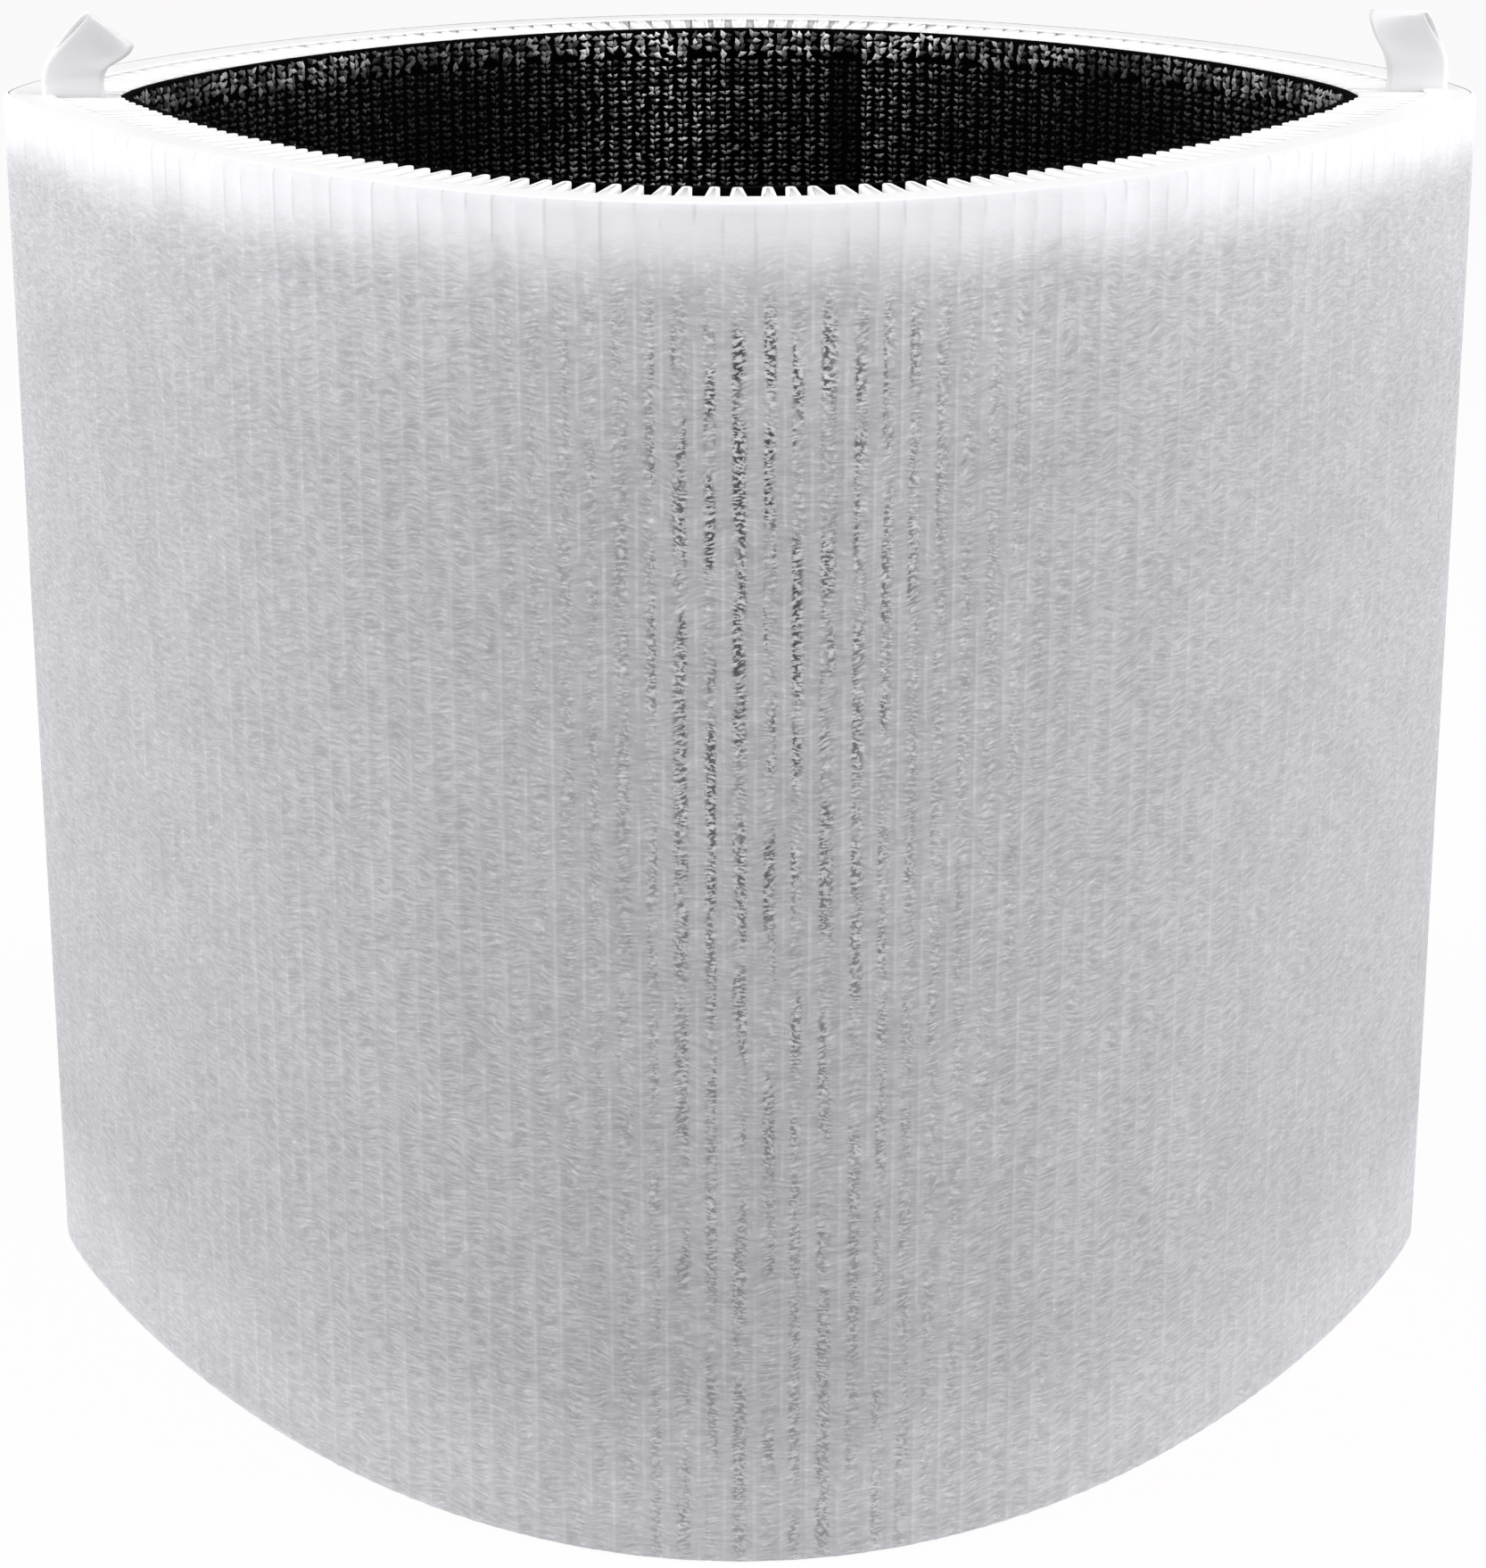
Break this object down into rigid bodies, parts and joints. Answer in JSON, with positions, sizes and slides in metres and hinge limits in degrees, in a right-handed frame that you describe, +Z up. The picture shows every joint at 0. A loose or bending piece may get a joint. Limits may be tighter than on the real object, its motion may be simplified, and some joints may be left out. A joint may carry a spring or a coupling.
{
  "type": "air purifier filter",
  "caption": "Round sleeve filter: white pleats in a fluffy nonwoven sleeve, lined with a black knitted net, open through the middle, with two ribbon pull tabs.",
  "frame": {"origin": "middle of the lower end, on the axis", "axes": "+Z up along the axis to the end with the pull tabs, +X through the right pull tab"},
  "size_m": [0.24, 0.24, 0.214],
  "materials": {
    "pleat_paper": "matt melt-blown filter paper",
    "nonwoven": "fluffy white nonwoven",
    "carbon_felt": "matt carbon felt",
    "black_knit": "black knitted net",
    "adhesive": "set white adhesive",
    "white_ring": "smooth white",
    "satin_ribbon": "white satin"
  },
  "bodies": {
    "root": {"pleated_media": "pleat_paper", "outer_wrap": "nonwoven", "carbon_layer": "carbon_felt", "inner_net": "black_knit", "top_potting": "adhesive", "top_ring": "white_ring", "bottom_ring": "white_ring", "pull_tab_left": "satin_ribbon", "pull_tab_right": "satin_ribbon"}
  },
  "joints": []
}
